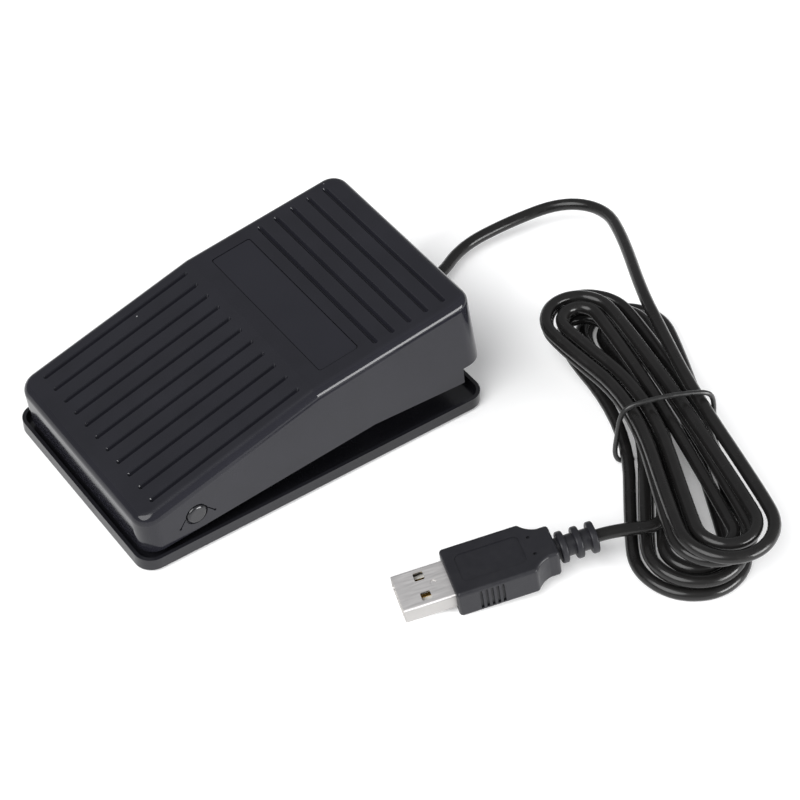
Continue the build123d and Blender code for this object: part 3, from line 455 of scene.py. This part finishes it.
# %% The hank's turns
def stage_of(loop):
    """The number of the stage that a loop belongs to."""
    return max(number for number, stage in enumerate(STAGES) if loop >= stage[0])


def waist_point(loop):
    """Where the cable passes the tied waist, at a whole loop on the left and at a half on the right."""
    number = stage_of(loop)
    start, level, first_place, direction = STAGES[number]
    half = (INNER_PLACE - first_place - direction * (loop - start)) * WAIST_STEP
    before = STAGES[number - 1][1] if number else CROSSING_LEVEL
    height = (level + before) / 2 if loop == start else level
    return hank_point(0, half if loop % 1 else -half, height, "waist")


def fold_points(loop):
    """Six corners of an octagon round the fold after the waist, so that the spline runs as a half round."""
    start, level, first_place, direction = STAGES[stage_of(loop)]
    end, side = ("up", -1) if loop % 1 else ("low", 1)
    corner = tan(pi / 8)
    going_out = [(-1 - corner, -1), (-1 + corner, -1), (0, -corner)]
    coming_back = [(along, -across) for along, across in reversed(going_out)]
    points = []
    for step, (along, across) in enumerate(going_out + coming_back):
        place = first_place + direction * (loop + FOLD_START + FOLD_STEP * step - start)
        half = INNER_HALVES[end] + (INNER_PLACE - place) * LOOP_STEP
        reach = REACHES[end] - place * LOOP_STEP
        out, sideways = side * (reach + half * along), side * half * across
        points.append(hank_point(out, sideways, level, end, SWINGS[end][level]))
    return points


def hank_points():
    """All points of the turns, from the first at the bottom to the last on top."""
    points = []
    for half_loop in range(int(2 * LAST_LOOP)):
        loop = half_loop / 2
        points += [waist_point(loop), *fold_points(loop)]
    return points + [waist_point(LAST_LOOP)]


print("points in the hank:", len(hank_points()))

# %% The free stretches, as listed points
LEAD_POINTS = [
    (-11.0, 58.0, 3.95),
    (-11.0, 67.5, 3.95),
    (-19.0, 81.0, 3.0),
    (-18.3, 97.0, 4.6),
    (-14.2, 113.0, 7.2),
    (-2.5, 119.0, 9.8),
    (13.0, 112.3, 13.4),
]
CROSSING_POINTS = [(39.0, -6.0, "low"), (2.0, -1.2, "waist"), (-39.0, 4.0, "up"), (-40.0, -14.0, "up")]
HANK_END_POINT = (-22.0, 12.6, 4, "up")
LEAD_JOIN_RUN = 14.0
TAIL_FIRST_RUN = 5.0

# The plug's own frame: its tip on the floor, its heading and its pitch
PLUG_HEADING = radians(71.3)
PLUG_PITCH = radians(8.0)
PLUG_LENGTH = 50.5
SHELL_HEIGHT = 4.5
PLUG_AXIS = away(PLUG_HEADING + pi / 2, PLUG_PITCH)
PLUG_TIP = Vector((74.8, -6.7, SHELL_HEIGHT / 2 * cos(PLUG_PITCH)))
print("plug axis:", [round(part, 3) for part in PLUG_AXIS])


def cable_route():
    """The whole cable from the tray to the plug, in millimetres."""
    turns = hank_points()
    hank_end = hank_point(*HANK_END_POINT)
    leaving = (hank_end - turns[-1]).normalized()
    crossing = [hank_point(along, across, CROSSING_LEVEL, end) for along, across, end in CROSSING_POINTS]
    boot_end = PLUG_TIP + PLUG_AXIS * PLUG_LENGTH
    tail = [boot_end, boot_end + PLUG_AXIS * TAIL_FIRST_RUN]
    lead = [Vector(point) for point in LEAD_POINTS] + [hank_end + leaving * LEAD_JOIN_RUN, hank_end]
    return lead + (tail + crossing + turns)[::-1]


route = cable_route()
print("points in the cable:", len(route))


# %% Draw the cable
TUBE_ROUNDNESS = 6
CABLE_STEPS = 8


def smooth_tube(name, points, thickness, steps):
    """A round tube along one smooth spline whose control points are given in millimetres."""
    curve = bpy.data.curves.new(name, "CURVE")
    curve.dimensions = "3D"
    curve.bevel_depth = thickness / 2 * MM
    curve.bevel_resolution = TUBE_ROUNDNESS
    curve.use_fill_caps = True
    curve.resolution_u = steps
    spline = curve.splines.new("NURBS")
    spline.points.add(len(points) - 1)
    for point, place in zip(spline.points, points):
        point.co = (*(Vector(place) * MM), 1.0)
    spline.order_u = 3
    spline.use_endpoint_u = True
    tube = bpy.data.objects.new(name, curve)
    bpy.context.scene.collection.objects.link(tube)
    return tube


def settle(piece, finish):
    """The piece gets its finish and rides on the tray."""
    piece.data.materials.append(finish)
    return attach(piece, "base")


def cable_jacket():
    """Soft black jacket, slightly brown and half gloss."""
    finish = new_finish("cable_jacket", (0.013, 0.0125, 0.0122), 0.24, ior=1.37)
    brown = blend(finish, grain(finish, 5 * MM, 3.0), (0.007, 0.0068, 0.0068), (0.013, 0.0125, 0.0122))
    into(finish, brown, "Base Color")
    into(finish, spread(finish, grain(finish, 2 * MM, 4.0), 0.14, 0.3), "Roughness")
    raise_bump(finish, grain(finish, 4 * MM, 2.0), 0.01 * MM)
    return finish


jacket = cable_jacket()
cable = settle(smooth_tube("cable", route, CABLE, CABLE_STEPS), jacket)
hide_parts("lead_cord", "cord_hank", "tail_cord")
dress(jacket, "inner_cable")

# %% [markdown]
# The wire tie
#
# One short wire with a black coating holds the waist. It is bent over the turns as an open arch. Its left
# end tucks under the outermost turn, and its right end comes down to the floor. A second smooth spline does
# this. Its points are listed in the plane across the hank, because that is the plane in which a hand bends
# such a tie.

# %% Wire tie
TIE_THICKNESS = 1.3
TIE_REACH = 6.0
TIE_STEPS = 10
# Each point: along the hank from the tie, across the hank, and height
TIE_POINTS = [
    (0.2, -10.4, 0.75),
    (0.2, -12.6, 0.7),
    (0.1, -14.7, 1.2),
    (0.0, -15.8, 4.2),
    (-0.2, -15.5, 9.5),
    (-0.2, -15.1, 16.8),
    (0.1, -13.7, 20.0),
    (0.4, -9.2, 21.1),
    (0.5, -3.0, 21.4),
    (0.7, 3.0, 21.0),
    (0.9, 7.9, 20.1),
    (0.8, 9.7, 16.9),
    (0.5, 10.5, 9.6),
    (0.1, 13.3, 3.0),
    (0.0, 13.8, 0.7),
]


def tie_coating():
    """Thin glossy black coating that follows the wire's kinks."""
    finish = new_finish("tie_coating", (0.012, 0.012, 0.012), 0.3)
    black = blend(finish, grain(finish, 2 * MM), (0.008, 0.008, 0.008), (0.02, 0.02, 0.02))
    into(finish, black, "Base Color")
    into(finish, spread(finish, grain(finish, 1.5 * MM, 3.0), 0.22, 0.42), "Roughness")
    raise_bump(finish, grain(finish, 2.5 * MM, 2.0), 0.02 * MM)
    return finish


def tie_route():
    """The tie's points turned from the hank's plane into the model's."""
    places = []
    for along, across, height in TIE_POINTS:
        point = hank_point(TIE_REACH + along, across, CROSSING_LEVEL, "waist")
        places.append((point.x, point.y, height))
    return places


tie_tube = smooth_tube("wire_tie", tie_route(), TIE_THICKNESS, TIE_STEPS)
tie = settle(tie_tube, tie_coating())
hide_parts("hank_tie")
print("points in the tie:", len(TIE_POINTS))

# %% [markdown]
# The plug
#
# The plug's body is moulded over the shell in a softer, duller plastic than the pedal, with a fine even
# texture. The shell is folded from plated sheet, and its gloss is broken by rolling marks. The plug lies at
# an angle, so its streaks can't follow the model's axes. They are turned into the plug's own frame first.


# %% Plug finishes
def along_plug(finish, size, stretch):
    """A noise whose long grain follows the plug's axis."""
    turned = add_node(finish, "ShaderNodeMapping", vector_type="TEXTURE")
    turned.inputs["Rotation"].default_value = (0, -PLUG_PITCH, PLUG_HEADING)
    join(finish, place_on_piece(finish), turned.inputs["Vector"])
    scaled = add_node(finish, "ShaderNodeMapping")
    scaled.inputs["Scale"].default_value = stretch
    join(finish, turned.outputs["Vector"], scaled.inputs["Vector"])
    noise = add_node(finish, "ShaderNodeTexNoise", scale=1.0 / size, detail=4.0)
    join(finish, scaled.outputs["Vector"], noise.inputs["Vector"])
    return noise.outputs["Fac"]


def soft_mould():
    """Satin grey-black moulding with a fine even texture."""
    finish = new_finish("soft_mould", (0.013, 0.013, 0.016), 0.42, ior=1.36)
    black = blend(finish, grain(finish, 4 * MM, 4.0), (0.010, 0.010, 0.013), (0.016, 0.016, 0.019))
    into(finish, black, "Base Color")
    into(finish, spread(finish, grain(finish, 2 * MM, 3.0), 0.34, 0.48), "Roughness")
    raise_bump(finish, grain(finish, 0.22 * MM, 2.0), 0.02 * MM)
    return finish


def plated_shell():
    """Pale plated sheet, brushed lengthwise; painted shade makes the sides greyer and painted light makes
    the top paler.
    """
    finish = new_finish("plated_shell", (0.72, 0.72, 0.7), 0.5, 1.0)
    streaks = along_plug(finish, 0.5 * MM, (0.08, 1, 1))
    # The darker grey of the sides is painted shade and the paler top is painted light, both on the same
    # plating
    side = blend(finish, streaks, (0.42, 0.41, 0.4), (0.5, 0.49, 0.48))
    top = blend(finish, streaks, (0.8, 0.78, 0.77), (0.93, 0.91, 0.9))
    into(finish, blend(finish, facing_up(finish, 0.5, 0.9), side, top), "Base Color")
    into(finish, spread(finish, streaks, 0.42, 0.56), "Roughness")
    raise_bump(finish, streaks, 0.003 * MM)
    return finish


def white_moulding():
    """Cream-white moulded plastic with a little mottle."""
    finish = new_finish("white_moulding", (0.78, 0.77, 0.72), 0.4)
    cream = blend(finish, grain(finish, 3 * MM), (0.7, 0.69, 0.64), (0.83, 0.82, 0.78))
    into(finish, cream, "Base Color")
    into(finish, spread(finish, grain(finish, 1 * MM), 0.32, 0.5), "Roughness")
    raise_bump(finish, grain(finish, 0.3 * MM), 0.008 * MM)
    return finish


dress(soft_mould(), "plug_overmould")
dress(plated_shell(), "plug_shell")
dress(white_moulding(), "plug_tongue", "wire_header")

# %% [markdown]
# Inside the tray
#
# Under the pedal lies a small green board with the switch, its chip and the wires from the cable. It shows
# only through the gap at the rear and from below the raised pedal, but from there it has to look right. The
# board's copper is drawn in its finish: its tracks are a paler green, where the copper lifts the lacquer. A
# brick pattern gives them, because its mortar is a net of narrow lines of one width.


# %% Board finish
def lacquered_board():
    """Green lacquer over copper tracks."""
    finish = new_finish("lacquered_board", (0.02, 0.16, 0.06), 0.35)
    tracks = add_node(
        finish, "ShaderNodeTexBrick", scale=1.0,
        brick_width=5.2 * MM, row_height=1.6 * MM, mortar_size=0.22 * MM, mortar_smooth=0.2,
    )
    join(finish, place_on_piece(finish), tracks.inputs["Vector"])
    lacquer = blend(finish, grain(finish, 6 * MM), (0.012, 0.11, 0.04), (0.02, 0.15, 0.055))
    into(finish, blend(finish, tracks.outputs["Fac"], lacquer, (0.05, 0.26, 0.09)), "Base Color")
    into(finish, spread(finish, grain(finish, 3 * MM), 0.25, 0.4), "Roughness")
    raise_bump(finish, tracks.outputs["Fac"], 0.03 * MM)
    return finish


def hard_moulding(name, dark, light, dull=0.5):
    """A hard moulded plastic of one colour with slight mottle."""
    finish = new_finish(name, light, dull)
    into(finish, blend(finish, grain(finish, 2 * MM, 3.0), dark, light), "Base Color")
    into(finish, spread(finish, grain(finish, 1 * MM), dull - 0.12, dull + 0.08), "Roughness")
    raise_bump(finish, grain(finish, 0.25 * MM), 0.01 * MM)
    return finish


def capacitor_sleeve():
    """Blue sleeve with a pale stripe on one side and a bare metal top."""
    finish = new_finish("capacitor_sleeve", (0.02, 0.04, 0.16), 0.3)
    up = facing_up(finish, 0.8, 0.9)
    stripe = add_node(finish, "ShaderNodeSeparateXYZ")
    join(finish, add_node(finish, "ShaderNodeTexCoord").outputs["Normal"], stripe.inputs["Vector"])
    to_the_right = spread(finish, stripe.outputs["X"], 0.0, 1.0, 0.8, 0.85)
    sleeve = blend(finish, to_the_right, (0.02, 0.04, 0.17), (0.5, 0.55, 0.62))
    metal = blend(finish, grain(finish, 0.5 * MM), (0.5, 0.5, 0.52), (0.7, 0.7, 0.72))
    into(finish, blend(finish, up, sleeve, metal), "Base Color")
    into(finish, up, "Metallic")
    return finish


dress(lacquered_board(), "circuit_board")
switch_body = hard_moulding("switch_body", (0.008, 0.008, 0.009), (0.016, 0.016, 0.018))
chip_body = hard_moulding("chip_body", (0.012, 0.012, 0.012), (0.022, 0.022, 0.022), 0.6)
dress(switch_body, "switch_case", "cable_clamp")
dress(chip_body, "controller_chip", "resistors")
dress(hard_moulding("plunger_red", (0.35, 0.02, 0.015), (0.48, 0.035, 0.03), 0.4), "switch_plunger")
dress(capacitor_sleeve(), "capacitors")

# %% Wires
WIRE_SHADE = 0.75
WIRE_COLORS = {
    "wire_red": (0.5, 0.02, 0.015),
    "wire_white": (0.75, 0.75, 0.72),
    "wire_green": (0.02, 0.3, 0.06),
    "wire_black": (0.012, 0.012, 0.012),
}
for name, color in WIRE_COLORS.items():
    dress(hard_moulding(name + "_sheath", tuple(part * WIRE_SHADE for part in color), color, 0.32), name)

# %% [markdown]
# Solder
#
# Where a wire or a leg meets the board it ends in a drop of solder. The drops are too small to model one by
# one as solids, but without them the board looks bare. One helper sets a flattened dome of solder on a
# point, and a list of places taken from the solids' own boxes says where the drops go.


# %% Solder drops
DROP_RADIUS = 0.7 * MM
DROP_FLATNESS = 0.6
HEADER_TO_DROPS = 1.2 * MM
CRYSTAL_TO_DROP = 0.4 * MM
HEADER_PINS = 4


def add_drop(mesh, place):
    """A half-sunk flattened ball at a place."""
    made = bmesh.ops.create_icosphere(mesh, subdivisions=2, radius=DROP_RADIUS)
    for vertex in made["verts"]:
        vertex.co = Vector((vertex.co.x, vertex.co.y, vertex.co.z * DROP_FLATNESS)) + place


def solder_places():
    """A row beside the wire header, and one in front of the crystal."""
    board_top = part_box("circuit_board")[1].z
    low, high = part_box("wire_header")
    places = []
    for pin in range(HEADER_PINS):
        across = low.x + (high.x - low.x) * (0.5 + pin) / HEADER_PINS
        places.append(Vector((across, low.y - HEADER_TO_DROPS, board_top)))
    low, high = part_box("crystal_can")
    places.append(Vector(((low.x + high.x) / 2, low.y - CRYSTAL_TO_DROP, board_top)))
    return places


def mesh_piece(name, mesh):
    """A smooth object from a bmesh."""
    data = bpy.data.meshes.new(name)
    mesh.to_mesh(data)
    mesh.free()
    for face in data.polygons:
        face.use_smooth = True
    piece = bpy.data.objects.new(name, data)
    bpy.context.scene.collection.objects.link(piece)
    return piece


drops = bmesh.new()
drop_places = solder_places()
for place in drop_places:
    add_drop(drops, place)
solder = worked_metal("solder", (0.5, 0.5, 0.5), (0.75, 0.75, 0.74), 0.4 * MM, (1, 1, 1), 0.2, 0.4)
settle(mesh_piece("solder_drops", drops), solder)
print("solder drops:", len(drop_places))

# %% [markdown]
# Return spring
#
# The spring pushes the pedal up, and is shortened when a foot pushes it down. The solid spring keeps its
# length, so the pressed pedal would cut through it. It could also ride on the pedal as a whole, but then
# its foot would sink into the tray.


# %% Return spring as a coil of wire
SPRING_WIRE = 1.0
SPRING_TURNS = 7
STEPS_PER_TURN = 16
COIL_STEPS = 2


def spring_points(low, high):
    """A helix inside the box, its points in millimetres."""
    middle = (low + high) / 2 / MM
    radius = (high.x - low.x) / 2 / MM - SPRING_WIRE / 2
    foot = low.z / MM + SPRING_WIRE / 2
    climb = (high.z - low.z) / MM - SPRING_WIRE
    steps = SPRING_TURNS * STEPS_PER_TURN
    points = []
    for step in range(steps + 1):
        turned = 2 * pi * step / STEPS_PER_TURN
        x, y = middle.x + radius * cos(turned), middle.y + radius * sin(turned)
        points.append((x, y, foot + climb * step / steps))
    return points


def tube_mesh(name, tube):
    """The tube as a mesh of its own, in place of its curve."""
    bpy.context.view_layer.update()
    shaped = tube.evaluated_get(bpy.context.evaluated_depsgraph_get())
    piece = bpy.data.objects.new(name, bpy.data.meshes.new_from_object(shaped))
    bpy.context.scene.collection.objects.link(piece)
    bpy.data.objects.remove(tube)
    return piece


spring_low, spring_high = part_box("return_spring")
coil_line = smooth_tube("coil_line", spring_points(spring_low, spring_high), SPRING_WIRE, COIL_STEPS)
spring_wire = worked_metal(
    "spring_wire", (0.32, 0.32, 0.33), (0.6, 0.6, 0.6), 0.4 * MM, (1, 1, 0.2), 0.2, 0.38
)
spring_coil = settle(tube_mesh("spring_coil", coil_line), spring_wire)
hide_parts("return_spring")
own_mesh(spring_coil)

# %% [markdown]
# Floor finish and the last checks
#
# The floor is plain and pale, with the faintest mottle. A little light of its own thins the shadows,
# because the photograph's background is burnt out to white almost everywhere.


# %% Floor finish
FLOOR_GLOW = 0.17


def pale_sheet():
    """Near-white matt sheet."""
    finish = new_finish("pale_sheet", (0.9, 0.9, 0.9), 0.9)
    glow = blend(finish, grain(finish, 60 * MM), (0.99, 0.99, 0.99), (1.0, 1.0, 1.0))
    into(finish, glow, "Emission Color")
    finish.node_tree.nodes["Principled BSDF"].inputs["Emission Strength"].default_value = FLOOR_GLOW
    pale = blend(finish, grain(finish, 40 * MM), (0.885, 0.885, 0.885), (0.9, 0.9, 0.9))
    into(finish, pale, "Base Color")
    return finish


floor.data.materials.append(pale_sheet())
print("floor lights itself at", FLOOR_GLOW)

bare = [name for name, node in nodes.items() if not node.hide_render and not node.data.materials]
print("solids without a finish:", bare)
